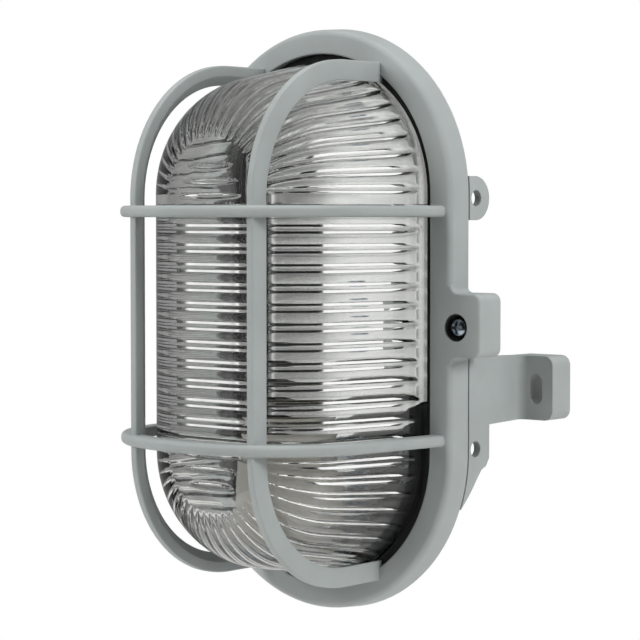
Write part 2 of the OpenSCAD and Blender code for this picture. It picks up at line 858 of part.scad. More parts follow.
// Clamping screws of the terminal block
module terminal_screws() {
  color("silver") in_frame() for (s = [-1, 1], y = pinch_y) {
    peg(pinch_r, s * tube_x, y, tube_d + bend * wire_r + fit, block_d1 - eps);
  }
}

// Screw through the middle of the terminal block
module block_screw() {
  color("silver") in_frame()
    small_screw([0, (block_y0 + block_y1) / 2], block_d1, block_d1 - base_t);
}

// Wire from a terminal to the lampholder, on the side given by s
module wire(s) {
  p0 = [s * tube_x, tube_y0 + wire_in, tube_d];
  p1 = [s * tube_x, wire_drop, tube_d];
  p2 = [s * wire_x, wire_drop - wire_slope, wire_level];
  p3 = [s * wire_x, wire_y, wire_level];
  p4 = [s * wire_x, wire_y, wire_end];
  rod(p0, p1, wire_r);
  rod(p1, p2, wire_r);
  rod(p2, p3, wire_r);
  rod(p3, p4, wire_r);
}
module wire_live() {
  color("saddlebrown") in_frame() wire(1);
}
module wire_neutral() {
  color("royalblue") in_frame() wire(-1);
}

// Rubber grommet in the cable entry
module cable_grommet() {
  r = entry_d / 2;
  color("dimgray") in_frame() difference() {
    union() {
      column(r, 0, entry_z, entry_y - grommet_lip, entry_y + base_t + grommet_lip);
      column(r + grommet_lip + 1, 0, entry_z, entry_y - grommet_lip, entry_y);
      column(r + grommet_lip, 0, entry_z, entry_y + base_t, entry_y + base_t + grommet_lip);
    }
    column(r - grommet_wall, 0, entry_z, entry_y - 2 * grommet_lip, entry_y + base_t + 2 * grommet_lip);
  }
}

// Bar that grips the cable
module cable_clamp() {
  color("ivory") in_frame() difference() {
    block(
      [-clamp_w / 2, clamp_y - clamp_h / 2, clamp_d],
      [clamp_w / 2, clamp_y + clamp_h / 2, clamp_d + clamp_t]
    );
    for (s = [-1, 1]) {
      peg(small_screw_d / 2 + fit, s * clamp_x, clamp_y, clamp_d - eps, clamp_d + clamp_t + eps);
    }
  }
}

// Screws of the cable clamp
module clamp_screws() {
  color("silver") in_frame() for (s = [-1, 1]) {
    small_screw([s * clamp_x, clamp_y], clamp_d + clamp_t, clamp_d - base_t);
  }
}

// Pin of the guard's hinge
module hinge_pin() {
  color("silver") in_frame() column(pin_d / 2, hinge_x, hinge_d, -lug_end, lug_end);
}

// Captive screw that closes the guard
module cage_screw() {
  d0 = boss_front - bore_depth + washer_t;
  color("silver") in_frame() {
    peg(screw_d / 2, screw_x, screw_y, boss_back - parting - insert_l, d0 + eps);
    difference() {
      peg(head_d / 2, screw_x, screw_y, d0, d0 + head_h);
      cross_recess(screw_x, screw_y, d0 + head_h, head_recess);
    }
  }
}

// Washer under the guard screw
module screw_washer() {
  d0 = boss_front - bore_depth;
  color("silver") in_frame() difference() {
    peg(washer_d / 2, screw_x, screw_y, d0, d0 + washer_t);
    peg(screw_d / 2 + fit, screw_x, screw_y, d0 - eps, d0 + washer_t + eps);
  }
}

// Brass insert in the base that takes the guard screw
module screw_insert() {
  d1 = boss_back - parting;
  color("gold") in_frame() difference() {
    peg(insert_d / 2, screw_x, screw_y, d1 - insert_l, d1);
    peg(insert_bore / 2, screw_x, screw_y, d1 - insert_l - eps, d1 + eps);
  }
}

base();
cage();
glass_diffuser();
glass_gasket();
reflector();
reflector_screws();
terminal_cover();
cover_screws();
lampholder_body();
lampholder_shell();
centre_contact();
side_contact();
lampholder_bracket();
holder_screws();
bracket_screws();
terminal_block();
terminal_tubes();
terminal_screws();
block_screw();
wire_live();
wire_neutral();
cable_grommet();
cable_clamp();
clamp_screws();
hinge_pin();
cage_screw();
screw_washer();
screw_insert();
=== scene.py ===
# %% [markdown]
# # An oval bulkhead light
# The imported CAD model is the frame: every piece here is in metres, at the place that the solids give it.
# The guard and the glass are what the eye meets first, so both are modelled again with round edges and ribs,
# and so are the closing screw and its black cup, whose black is painted shade in the screw's seat.

# %% Load the frame
import bpy
import json
import math
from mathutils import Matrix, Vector


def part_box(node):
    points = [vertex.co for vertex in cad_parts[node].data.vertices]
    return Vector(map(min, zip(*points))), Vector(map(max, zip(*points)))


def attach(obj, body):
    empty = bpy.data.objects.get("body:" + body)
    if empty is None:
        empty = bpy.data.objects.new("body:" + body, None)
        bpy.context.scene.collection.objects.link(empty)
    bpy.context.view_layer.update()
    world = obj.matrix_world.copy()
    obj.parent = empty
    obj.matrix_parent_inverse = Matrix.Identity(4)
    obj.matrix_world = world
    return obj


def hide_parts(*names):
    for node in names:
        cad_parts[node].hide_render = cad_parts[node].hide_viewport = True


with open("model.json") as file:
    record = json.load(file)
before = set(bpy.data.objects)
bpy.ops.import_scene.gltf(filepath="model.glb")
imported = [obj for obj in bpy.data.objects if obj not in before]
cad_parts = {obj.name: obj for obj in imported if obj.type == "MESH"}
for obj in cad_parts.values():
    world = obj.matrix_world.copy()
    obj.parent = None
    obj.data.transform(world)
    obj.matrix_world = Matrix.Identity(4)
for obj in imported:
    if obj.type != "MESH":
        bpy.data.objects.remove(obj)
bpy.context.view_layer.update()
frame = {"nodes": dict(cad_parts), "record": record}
nodes = frame["nodes"]

# %% [markdown]
# ## The camera
# The photograph was taken from the right, level with the upper part of the light.
# Its place and lens come from a fit of the ring, bars, hoops and feet to the picture.

# %% Camera
CAMERA_PLACE = (0.5246, -0.6749, 0.03862)
CAMERA_PITCH = 90 - 2.711
CAMERA_HEADING = 39.67 + 0.405
CAMERA_LENS = 127.07
CAMERA_SENSOR = 36
bpy.ops.object.select_all(action="DESELECT")
bpy.ops.object.camera_add(
    location=CAMERA_PLACE,
    rotation=(math.radians(CAMERA_PITCH), 0, math.radians(CAMERA_HEADING)),
)
camera = bpy.context.object
camera.data.lens = CAMERA_LENS
camera.data.sensor_width = CAMERA_SENSOR
camera.data.clip_start = 0.01
bpy.context.scene.camera = camera
print("camera at", tuple(camera.location))

# %% [markdown]
# ## Sizes and small helpers
# A point is given as on a drawing of the light: across, out from the wall, and up, in millimetres.
# An outline gets its round corners in code, because a moulded part has no sharp edge anywhere.

# %% Points and outlines
MM = 0.001


def at(across, out, up):
    return Vector((across, -out, up)) * MM


def rounded(corners, steps=4):
    """Points of a closed outline whose corners (a, b, radius) are rounded."""
    points = []
    for i, (a, b, radius) in enumerate(corners):
        corner = Vector((a, b))
        back = (Vector(corners[i - 1][:2]) - corner).normalized()
        ahead = (Vector(corners[(i + 1) % len(corners)][:2]) - corner).normalized()
        half = back.angle(ahead) / 2
        centre = corner + (back + ahead).normalized() * radius / math.sin(half)
        first = corner + back * radius / math.tan(half) - centre
        last = corner + ahead * radius / math.tan(half) - centre
        for k in range(steps + 1):
            mid = first.slerp(last, k / steps)
            points.append(centre + mid.normalized() * radius)
    return points


def arc(centre, radius, start, end, steps):
    """Points on part of a circle, with angles in degrees."""
    turns = [math.radians(start + (end - start) * k / steps) for k in range(steps + 1)]
    return [Vector((centre[0] + radius * math.cos(t), centre[1] + radius * math.sin(t))) for t in turns]


def in_mm(piece):
    return [round(length / MM, 1) for length in piece.dimensions]


# %% Start, pull, turn and close a section
MEET = 2e-6


def start_section(name, points):
    """A circle primitive whose points are put on a section, left in edit mode with all of it selected."""
    bpy.ops.object.select_all(action="DESELECT")
    bpy.ops.mesh.primitive_circle_add(vertices=len(points), radius=MM)
    piece = bpy.context.object
    piece.name = name
    for vertex, point in zip(piece.data.vertices, points):
        vertex.co = point
    bpy.ops.object.mode_set(mode="EDIT")
    bpy.ops.mesh.select_all(action="SELECT")
    return piece


def pull(across, out, up):
    bpy.ops.mesh.extrude_region_move(TRANSFORM_OT_translate={"value": at(across, out, up)})


def turn(degrees, centre, axis, steps):
    """Spins the section by the right-hand rule; the operator itself turns the other way."""
    bpy.ops.mesh.spin(steps=steps, angle=-math.radians(degrees), center=centre, axis=axis)


def face_outwards():
    bpy.ops.mesh.select_all(action="SELECT")
    bpy.ops.mesh.normals_make_consistent(inside=False)
    bpy.ops.object.mode_set(mode="OBJECT")


def close_section():
    """Joins what meets, fills the open ends and turns the faces outwards."""
    bpy.ops.mesh.select_all(action="SELECT")
    bpy.ops.mesh.remove_doubles(threshold=MEET)
    bpy.ops.mesh.fill_holes(sides=0)
    face_outwards()


# %% Place a piece and cut one from another
def place(piece):
    """Puts the object's own origin at the frame's, so that its place is in its mesh."""
    bpy.ops.object.select_all(action="DESELECT")
    piece.select_set(True)
    bpy.context.view_layer.objects.active = piece
    bpy.ops.object.transform_apply(location=True, rotation=True, scale=True)


def cut(piece, cutter, name, use_self=False):
    """Takes the cutter's shape out of a piece."""
    taken = piece.modifiers.new(name, "BOOLEAN")
    taken.object = cutter
    taken.use_self = use_self
    place(piece)
    bpy.ops.object.modifier_apply(modifier=taken.name)


# %% [markdown]
# ## The guard
# The real guard is one moulding: an oval ring, two upright bars, two cross hoops and a boss for its screw.
# Each run is a section that is pulled along the straights and spun round the bends, as a die would draw it.
# The ring's outer wall leans in a little towards the front, as a moulding does to leave its mould.

# %% Guard ring
HALF = 45
RING = 60
SKIRT = 57.6
LIP = 50.5
BACK = 42.4
FRONT = 52.6
LIP_BACK = 50.0
DRAFT = 0.8
FACE_DROP = 0.6
RING_TURNS = 48
ring_outline = rounded([
    (SKIRT, BACK, 0.3), (RING, BACK, 0.5), (RING - DRAFT, FRONT - FACE_DROP, 2.4),
    (LIP, FRONT, 0.6), (LIP, LIP_BACK, 0.3), (SKIRT, LIP_BACK, 0.4),
], 6)
guard = start_section("guard", [at(p.x, p.y, -HALF) for p in ring_outline])
pull(0, 0, 2 * HALF)
turn(180, at(0, 0, HALF), (0, -1, 0), RING_TURNS)
pull(0, 0, -2 * HALF)
turn(180, at(0, 0, -HALF), (0, -1, 0), RING_TURNS)
close_section()
print("ring points:", len(guard.data.vertices), in_mm(guard))

# %% [markdown]
# The upright bars are thin and deep, with a back face that slants to follow the glass.
# One bar is drawn from the ring over the top, down the front and back, and a Mirror modifier gives the other.

# %% Upright bars
BAR = 27
BAR_HALF = 1.4
BAR_DEEP = 7.5
BAR_SHALLOW = 3.7
BAR_TOP = 91.5
BAR_BEND = 48
BAR_FRONT = BACK + 77.3
BAR_ROOT = FRONT - 1.6
BAR_TURNS = 24
bend_out = BAR_FRONT - BAR_BEND
bend_up = BAR_TOP - BAR_BEND
bar_outline = rounded([
    (BAR + BAR_HALF, BAR_TOP, 0.5), (BAR + BAR_HALF, BAR_TOP - BAR_DEEP, 0.2),
    (BAR - BAR_HALF, BAR_TOP - BAR_SHALLOW, 0.4), (BAR - BAR_HALF, BAR_TOP, 0.5),
])
bars = start_section("bars", [at(p.x, BAR_ROOT, p.y) for p in bar_outline])
pull(0, bend_out - BAR_ROOT, 0)
turn(90, at(0, bend_out, bend_up), (1, 0, 0), BAR_TURNS)
pull(0, 0, -2 * bend_up)
turn(90, at(0, bend_out, -bend_up), (1, 0, 0), BAR_TURNS)
pull(0, BAR_ROOT - bend_out, 0)
close_section()
mirror = bars.modifiers.new("Other bar", "MIRROR")
mirror.use_axis = (True, False, False)
place(bars)
bpy.ops.object.modifier_apply(modifier=mirror.name)
print("bars:", in_mm(bars))

# %% [markdown]
# A cross hoop is a flat strip with soft edges and three bends: wide in front, and tighter at each side.
# The second hoop is a copy, moved down with a transform.

# %% Course of a hoop
HOOP_UP = 39.2
HOOP_STEP = 79.4
HOOP_DEEP = 3.1
HOOP_TALL = 2.0
HOOP_PROUD = 4
WIDE = 75
WIDE_HALF = 20
TIGHT = 40
SIDE_TURNS = 20
WIDE_TURNS = 16
wide_angle = math.degrees(math.asin(WIDE_HALF / WIDE))
wide_centre = Vector((0, BAR_FRONT + HOOP_PROUD - WIDE))
wide_end = Vector((math.sin(math.radians(wide_angle)), math.cos(math.radians(wide_angle))))
tight_centre = wide_centre + (WIDE - TIGHT) * wide_end
hoop_end = Vector((RING - 6, FRONT - 1.4))
reach = hoop_end - tight_centre
side_angle = math.degrees(math.atan2(reach.y, reach.x) + math.acos(TIGHT / reach.length))
outward = Vector((math.cos(math.radians(side_angle)), math.sin(math.radians(side_angle))))
touch = tight_centre + TIGHT * outward
side_turn = 90 - wide_angle - side_angle
print("hoop bends, in degrees:", round(side_turn, 1), round(2 * wide_angle, 1))

# %% Cross hoops
strip = rounded([
    (-HOOP_DEEP, -HOOP_TALL, 0.8), (HOOP_DEEP, -HOOP_TALL, 1.6),
    (HOOP_DEEP, HOOP_TALL, 1.6), (-HOOP_DEEP, HOOP_TALL, 0.8),
])
hoops = start_section("hoops", [at(*(hoop_end + p.x * outward), HOOP_UP + p.y) for p in strip])
pull(*(touch - hoop_end), 0)
turn(side_turn, at(*tight_centre, 0), (0, 0, -1), SIDE_TURNS)
turn(2 * wide_angle, at(*wide_centre, 0), (0, 0, -1), WIDE_TURNS)
turn(side_turn, at(-tight_centre.x, tight_centre.y, 0), (0, 0, -1), SIDE_TURNS)
pull(touch.x - hoop_end.x, hoop_end.y - touch.y, 0)
close_section()
bpy.ops.object.mode_set(mode="EDIT")
bpy.ops.mesh.select_all(action="SELECT")
bpy.ops.mesh.duplicate_move(TRANSFORM_OT_translate={"value": at(0, 0, -HOOP_STEP)})
bpy.ops.object.mode_set(mode="OBJECT")
print("hoops:", in_mm(hoops))

# %% [markdown]
# The screw boss grows out of the ring with a hollow fillet above and below, and a sunk seat for the screw.
# Its outline is pulled forward and its front edge is bevelled. A shorter tail behind it meets the base.

# %% Screw boss
BOSS_BACK = BACK - 2.7
BOSS_FRONT = FRONT - FACE_DROP
BOSS_END = RING + 11.5
BOSS_HALF = 11
BOSS_CORNER = 3
BOSS_EDGE = 1.1
BOSS_ROOT = RING - 4
TAIL_ROOT = SKIRT + 0.1
corner_x = BOSS_END - BOSS_CORNER
corner_up = BOSS_HALF - BOSS_CORNER
fillet_x = RING - DRAFT + BOSS_CORNER
fillet_up = BOSS_HALF + BOSS_CORNER
boss_nose = (
    arc((corner_x, corner_up), BOSS_CORNER, 90, 0, 6)
    + arc((corner_x, -corner_up), BOSS_CORNER, 0, -90, 6)
)
boss_outline = (
    arc((fillet_x, fillet_up), BOSS_CORNER, 180, 270, 6)
    + boss_nose
    + arc((fillet_x, -fillet_up), BOSS_CORNER, 90, 180, 6)
    + [Vector((BOSS_ROOT, -fillet_up)), Vector((BOSS_ROOT, fillet_up))]
)
tail_outline = boss_nose + [Vector((TAIL_ROOT, -BOSS_HALF)), Vector((TAIL_ROOT, BOSS_HALF))]
tail = start_section("boss tail", [at(p.x, BOSS_BACK, p.y) for p in tail_outline])
bpy.ops.mesh.edge_face_add()
pull(0, BACK + 1 - BOSS_BACK, 0)
close_section()
boss = start_section("boss", [at(p.x, BACK, p.y) for p in boss_outline])
bpy.ops.mesh.edge_face_add()
pull(0, BOSS_FRONT - BACK, 0)
bpy.ops.mesh.bevel(offset=BOSS_EDGE * MM, segments=4, affect="EDGES", clamp_overlap=True)
close_section()
tail.select_set(True)
boss.select_set(True)
bpy.ops.object.join()
print("boss:", in_mm(boss))

# %% [markdown]
# The seat reaches into the ring, so its two cylinders are cut from the ring as well as from the boss.

# %% Seat of the screw
SCREW = (61.4, -0.8)
SEAT = BOSS_FRONT - 3.4
SEAT_RADIUS = 4.8
SHANK_HOLE = 2.25
for radius, start, end in ((SEAT_RADIUS, SEAT, FRONT + 2), (SHANK_HOLE, BOSS_BACK - 2, FRONT)):
    bpy.ops.object.select_all(action="DESELECT")
    bpy.ops.mesh.primitive_cylinder_add(
        vertices=64, radius=radius * MM, depth=(end - start) * MM,
        location=at(SCREW[0], (start + end) / 2, SCREW[1]), rotation=(math.radians(90), 0, 0),
    )
    cutter = bpy.context.object
    place(cutter)
    cut(guard, cutter, "Screw seat")
    cut(boss, cutter, "Screw seat", use_self=True)
    bpy.data.objects.remove(cutter)
print("boss faces with the seat:", len(boss.data.polygons))

# %% [markdown]
# On the other side the guard ends in a hinge knuckle, seen in plan as an arm with a round eye.

# %% Hinge knuckle
HINGE = (-66, 36.4)
EYE = 4.2
KNUCKLE_HALF = 11
KNUCKLE_EDGE = 0.5
KNUCKLE_FRONT = FRONT - 4.8
PIN_HOLE = 1.58
knuckle_arm = [
    (HINGE[0] + EYE, BACK - 0.5), (-TAIL_ROOT, BACK + 0.1), (-TAIL_ROOT, KNUCKLE_FRONT),
    (HINGE[0], KNUCKLE_FRONT), (HINGE[0] - EYE, BACK + 0.5),
]
knuckle_outline = arc(HINGE, EYE, 180, 360, 16) + [Vector(p) for p in knuckle_arm]
knuckle = start_section("knuckle", [at(p.x, p.y, -KNUCKLE_HALF) for p in knuckle_outline])
bpy.ops.mesh.edge_face_add()
pull(0, 0, 2 * KNUCKLE_HALF)
face_outwards()
soften = knuckle.modifiers.new("Round edges", "BEVEL")
soften.width = KNUCKLE_EDGE * MM
soften.segments = 3
place(knuckle)
bpy.ops.object.modifier_apply(modifier=soften.name)
bpy.ops.object.select_all(action="DESELECT")
bpy.ops.mesh.primitive_cylinder_add(
    vertices=48, radius=PIN_HOLE * MM, depth=3 * KNUCKLE_HALF * MM, location=at(*HINGE, 0),
)
cutter = bpy.context.object
place(cutter)
cut(knuckle, cutter, "Pin hole")
bpy.data.objects.remove(cutter)
print("knuckle:", in_mm(knuckle))

# %% Join the guard
bpy.ops.object.select_all(action="DESELECT")
for piece in (bars, hoops, boss, knuckle, guard):
    piece.select_set(True)
bpy.context.view_layer.objects.active = guard
bpy.ops.object.join()
place(guard)
bpy.ops.object.shade_smooth_by_angle(angle=math.radians(35))
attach(guard, "guard")
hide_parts("cage")
print("guard faces:", len(guard.data.polygons), in_mm(guard))

# %% [markdown]
# ## The glass
# The bowl is pressed glass, smooth outside and ribbed inside. Each rib follows the section of the bowl,
# so the ribs lie level on the long sides and fan out round the ends, where they fade towards the middle.
# The section is drawn once through both walls. The inner wall has finer steps, because it carries the ribs.

# %% Glass section
GLASS_FRONT = BACK + 69.3
GLASS_BEND = 31
WALL = 3.2
SHOULDER = (10.5, GLASS_FRONT - GLASS_BEND)
COLLAR = 47.5
COLLAR_FRONT = BACK + 12
FLANGE = 53.5
FLANGE_FRONT = 48.6
FLANGE_BACK = 46.4
EASE = 0.3
COLLAR_STEPS = (7.5, 9.5, 10.3, 11.1)
FINE_FROM = 60


def glass_wall(thickness, front_steps, flat_steps):
    """Half a section of the bowl's wall, from the collar up the side and over the front to the middle."""
    radius = GLASS_BEND - thickness
    low = Vector((COLLAR - thickness, COLLAR_FRONT))
    foot = low - Vector(SHOULDER)
    lean = math.degrees(math.atan2(foot.y, foot.x) + math.acos(radius / foot.length))
    side = arc(SHOULDER, radius, lean, FINE_FROM, 12)[:-1] + arc(SHOULDER, radius, FINE_FROM, 90, front_steps)
    run = [low.lerp(side[0], k / 6) for k in range(6)]
    front = GLASS_FRONT - thickness
    flat = [Vector((SHOULDER[0] * (1 - k / flat_steps), front)) for k in range(1, flat_steps + 1)]
    return run + side + flat


flange = [Vector(p) for p in (
    (COLLAR, FLANGE_FRONT + 1.9), (COLLAR, FLANGE_FRONT + 0.1), (COLLAR + 0.4, FLANGE_FRONT),
    (FLANGE - EASE, FLANGE_FRONT), (FLANGE, FLANGE_FRONT - EASE),
    (FLANGE, FLANGE_BACK + EASE), (FLANGE - EASE, FLANGE_BACK),
)]
rim_in = COLLAR - WALL
outer = list(reversed(glass_wall(0, 8, 4))) + flange
rim = [Vector((rim_in + 0.4, FLANGE_BACK)), Vector((rim_in, FLANGE_BACK + 0.4))]
inner = [Vector((rim_in, BACK + k)) for k in COLLAR_STEPS] + glass_wall(WALL, 32, 30)
section = outer + rim + inner
print("glass section points:", len(outer), len(inner))

# %% [markdown]
# A rib is a low bead with a flat top. The sweep takes small steps where a bead will be, and one in between.
# On the sides the beads are a pitch apart, the first at mid-height. On the ends they share a quarter turn.
# The last of the straight run has fine steps too, because a short rib of the front crosses it.

# %% Where the ribs are
PITCH = 6.65
SIDE_RIBS = 7
END_RIBS = 11
END_RADIUS = 44
END_FIRST = 2.5
END_STEP = (90 - END_FIRST) / (END_RIBS - 0.5)
BEAD_FOOT = 1.8
BEAD_TOP = 0.55
BEAD_EDGE = 0.25
FINE_STEP = 0.5
FINE_STEPS = 7
half_bead = [BEAD_TOP, BEAD_TOP + BEAD_EDGE, BEAD_FOOT - BEAD_EDGE, BEAD_FOOT]
bead_steps = [-step for step in reversed(half_bead)] + half_bead
along = [PITCH * k + offset for k in range(SIDE_RIBS) for offset in bead_steps]
along = [up for up in along if up > 0] + [HALF - FINE_STEP * k for k in range(FINE_STEPS, -1, -1)]
end_steps = [math.degrees(offset / END_RADIUS) for offset in bead_steps]
around = [END_FIRST + END_STEP * k + step for k in range(END_RIBS) for step in end_steps] + [90]
print("steps along and around:", len(along), len(around))

# %% [markdown]
# The section is swept along a quarter of the oval, and two mirrors make it whole.
# A vertex group marks the inner wall before the sweep, so that every copy of its points stays in the group.

# %% Sweep a quarter and mirror it
glass = start_section("glass", [at(p.x, p.y, 0) for p in section])
bpy.ops.mesh.select_all(action="DESELECT")
bpy.ops.object.mode_set(mode="OBJECT")
ribs = glass.vertex_groups.new(name="ribs")
ribs.add(range(len(outer) + len(rim), len(section)), 1, "REPLACE")
for edge in glass.data.edges:
    edge.select = set(edge.vertices) == {0, len(section) - 1}
bpy.ops.object.mode_set(mode="EDIT")
bpy.ops.mesh.select_mode(type="EDGE")
bpy.ops.mesh.delete(type="EDGE_FACE")
bpy.ops.mesh.select_mode(type="VERT")
bpy.ops.mesh.select_all(action="SELECT")
for low, high in zip([0] + along, along):
    pull(0, 0, high - low)
for low, high in zip([0] + around, around):
    turn(high - low, at(0, 0, HALF), (0, -1, 0), 1)
bpy.ops.object.mode_set(mode="OBJECT")
place(glass)
mirror = glass.modifiers.new("Other quarters", "MIRROR")
mirror.use_axis = (True, False, True)
mirror.merge_threshold = MEET
bpy.ops.object.modifier_apply(modifier=mirror.name)
bpy.ops.object.mode_set(mode="EDIT")
bpy.ops.mesh.select_all(action="SELECT")
bpy.ops.mesh.remove_doubles(threshold=MEET)
face_outwards()
print("glass points:", len(glass.data.vertices), in_mm(glass))

# %% [markdown]
# The flanks of a bead stand at 45 degrees. Each turns the light as a prism does, so every rib shows
# as a pair of fine lines, white or black. Above the collar it runs out to a point. On the ends it fades
# towards the front, where three short beads, pointed at both ends, finish the pattern.

# %% How far each point is pressed
RIB = 1.25
END_FADE = (19, 36)
COLLAR_FADE = (BACK + 10, BACK + 17)
SHORT_RIB = 0.72
SHORT_HALF = 1.2
SHORT_FLANK = 0.95
SHORT_RIBS = ((44.4, 14), (49.3, 12.4), (54.6, 9.9))
FRONT_ZONE = GLASS_FRONT - 12


def ramp(value, low, high):
    return min(max((value - low) / (high - low), 0), 1)


def bead(offset):
    """A bead with a flat top and flanks at 45 degrees."""
    return ramp(abs(offset), BEAD_FOOT, BEAD_TOP)


def short_bead(offset, half_length, across):
    """A low bead that narrows to a point at both ends."""
    width = SHORT_HALF * math.sqrt(max(1 - (across / half_length) ** 2, 0))
    return SHORT_RIB * ramp(width - abs(offset), 0, SHORT_FLANK)


def pressed(across, out, up):
    """How much of a rib's height there is at a point of the inner wall, from 0 to 1."""
    beyond = max(up - HALF, 0)
    if beyond < 0.01:
        weight = bead(up - PITCH * min(round(up / PITCH), SIDE_RIBS - 1))
    else:
        turned_by = math.degrees(math.atan2(beyond, across)) - END_FIRST
        nearest = min(max(round(turned_by / END_STEP), 0), END_RIBS - 1)
        weight = bead(math.radians(turned_by - nearest * END_STEP) * END_RADIUS)
        weight *= ramp(math.hypot(across, beyond), *END_FADE)
    weight += ramp(out, *COLLAR_FADE) - 1
    if out > FRONT_ZONE:
        weight = max([weight] + [short_bead(up - middle, half, across) for middle, half in SHORT_RIBS])
    return max(weight, 0)


# %% Press the ribs
ribs = glass.vertex_groups["ribs"]
for vertex in glass.data.vertices:
    if vertex.groups:
        weight = pressed(abs(vertex.co.x) / MM, -vertex.co.y / MM, abs(vertex.co.z) / MM)
        ribs.add([vertex.index], weight, "REPLACE")
press = glass.modifiers.new("Ribs", "DISPLACE")
press.vertex_group = "ribs"
press.strength = RIB * MM
press.mid_level = 0
place(glass)
bpy.ops.object.modifier_apply(modifier=press.name)
bpy.ops.object.shade_smooth_by_angle(angle=math.radians(60))
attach(glass, "guard")
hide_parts("glass_diffuser")
print("glass faces:", len(glass.data.polygons))

# %% [markdown]
# ## The closing screw
# The screw has a low domed head with a cross recess, and sits in a black rubber cup in the washer's place;
# the cup lines the seat's walls, and its black is painted shade for the deep seat.
# Both are turned parts, so half a section is spun once round; the recess is a small cross cut from the dome.
# A section's points are radius and height above the seat.

# %% Turn the screw
SHANK = 2.0
HEAD = (
    (0, 3.2), (0.9, 3.15), (1.8, 2.95), (2.6, 2.55), (3.2, 2.0),
    (3.55, 1.5), (3.7, 1.0), (3.6, 0.8), (SHANK, 0.8),
)
POINT = 1.5


def turned(name, profile):
    """Spins a half section of (radius, out) points round the screw's axis."""
    piece = start_section(name, [at(SCREW[0] + radius, out, SCREW[1]) for radius, out in profile])
    turn(360, at(SCREW[0], 0, SCREW[1]), (0, -1, 0), 48)
    bpy.ops.mesh.select_all(action="SELECT")
    bpy.ops.mesh.remove_doubles(threshold=MEET)
    bpy.ops.mesh.delete_loose()
    face_outwards()
    place(piece)
    return piece


tip = -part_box("cage_screw")[1][1] / MM
shank = [(SHANK, tip + 0.6), (POINT, tip), (0, tip)]
screw = turned("screw", [(radius, SEAT + out) for radius, out in HEAD] + shank)
print("screw:", in_mm(screw))

# %% Cut the recess and turn the black cup that paints the seat's shade
ARM_HALF = 0.5
ARM_REACH = 2.1
RECESS_FLOOR = SEAT + 1.6
# The cup's walls line the seat, and their black is painted shade for the deep seat.
SHADE_CUP = (
    (2.35, 0), (4.7, 0), (4.75, 0.1), (4.75, 2.7), (4.6, 2.8), (4.3, 2.6), (4.2, 0.8), (2.35, 0.75),
)
arms = [
    (ARM_REACH, ARM_HALF), (ARM_HALF, ARM_HALF), (ARM_HALF, ARM_REACH),
    (-ARM_HALF, ARM_REACH), (-ARM_HALF, ARM_HALF), (-ARM_REACH, ARM_HALF),
]
cross = arms + [(-a, -b) for a, b in arms]
cutter = start_section("recess", [at(SCREW[0] + a, RECESS_FLOOR, SCREW[1] + b) for a, b in cross])
bpy.ops.mesh.edge_face_add()
pull(0, 2, 0)
close_section()
place(cutter)
cut(screw, cutter, "Cross recess")
bpy.data.objects.remove(cutter)
# The black cup is painted shade: it lines the seat so that its walls look as dark as deep shade.
shade_cup = turned("shade_cup", [(radius, SEAT + out) for radius, out in SHADE_CUP])
for piece, node, slot in ((screw, "cage_screw", "zinc_steel"), (shade_cup, "screw_washer", "black_rubber")):
    place(piece)
    bpy.ops.object.shade_smooth_by_angle(angle=math.radians(40))
    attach(piece, "guard")
    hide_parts(node)
    print(piece.name, in_mm(piece))

# %% [markdown]
# ## Finishes
# A colour is written as it would be mixed, in sRGB, and one function turns it to the shader's linear values.
# One more function adds a node, sets its fields and sockets, and links its inputs.

# %% Colour and nodes
def linear(colour):
    values = [int(colour[i:i + 2], 16) / 255 for i in (1, 3, 5)]
    return tuple(v / 12.92 if v <= 0.04045 else ((v + 0.055) / 1.055) ** 2.4 for v in values) + (1,)


def add(tree, kind, sockets={}, links={}, **fields):
    made = tree.nodes.new(kind)
    for key, value in fields.items():
        setattr(made, key, value)
    for key, value in sockets.items():
        made.inputs[key].default_value = value
    for key, source in links.items():
        tree.links.new(source, made.inputs[key])
    return made


# %% [markdown]
# Every finish is built the same way: a pattern of a real size in millimetres, two colours that it mixes,
# a roughness that it varies, a fine relief, and edges that a Bevel node rounds. Each has a short function.

# %% Parts of a finish
def new_finish(name, plain={}):
    """A material with plain values on its shader; gives it, its tree and the place on the object."""
    material = bpy.data.materials.new(name)
    material.use_nodes = True
    tree = material.node_tree
    for key, value in plain.items():
        tree.nodes["Principled BSDF"].inputs[key].default_value = value
    return material, tree, add(tree, "ShaderNodeTexCoord").outputs["Object"]


def noise(tree, where, size, detail, roughness=0.5):
    """Noise with one feature every so many millimetres."""
    sockets = {"Scale": 1 / (size * MM), "Detail": detail, "Roughness": roughness}
    return add(tree, "ShaderNodeTexNoise", sockets, {"Vector": where}).outputs["Fac"]


def two_tone(tree, pattern, dark, pale, start=0, end=1):
    """A colour between two, by a pattern."""
    shade = add(tree, "ShaderNodeValToRGB", {}, {"Fac": pattern})
    for stop, colour, position in zip(shade.color_ramp.elements, (dark, pale), (start, end)):
        stop.position = position
        stop.color = linear(colour)
    return shade.outputs["Color"]


def between(tree, pattern, low, high):
    """A number between two, by a pattern."""
    share = add(tree, "ShaderNodeMapRange", {"To Min": low, "To Max": high}, {"Value": pattern})
    return share.outputs["Result"]


def soft_edge(tree, radius, samples=6):
    return add(tree, "ShaderNodeBevel", {"Radius": radius * MM}, samples=samples).outputs["Normal"]


def relief(tree, pattern, strength, depth, normal=None):
    """Bump of a depth in millimetres, over another normal where one is given."""
    links = {"Height": pattern, "Normal": normal} if normal else {"Height": pattern}
    bump = add(tree, "ShaderNodeBump", {"Strength": strength, "Distance": depth * MM}, links)
    return bump.outputs["Normal"]


def feed(tree, **sources):
    """Links each source to the shader's input of that name."""
    for key, source in sources.items():
        tree.links.new(source, tree.nodes["Principled BSDF"].inputs[key.replace("_", " ")])


# %% [markdown]
# The guard and the base are moulded in grey ABS, with a fine matt grain and a slightly uneven tone.
# The grain of the real mould is about 0.15 mm; it is drawn at 0.5 mm so that it shows.

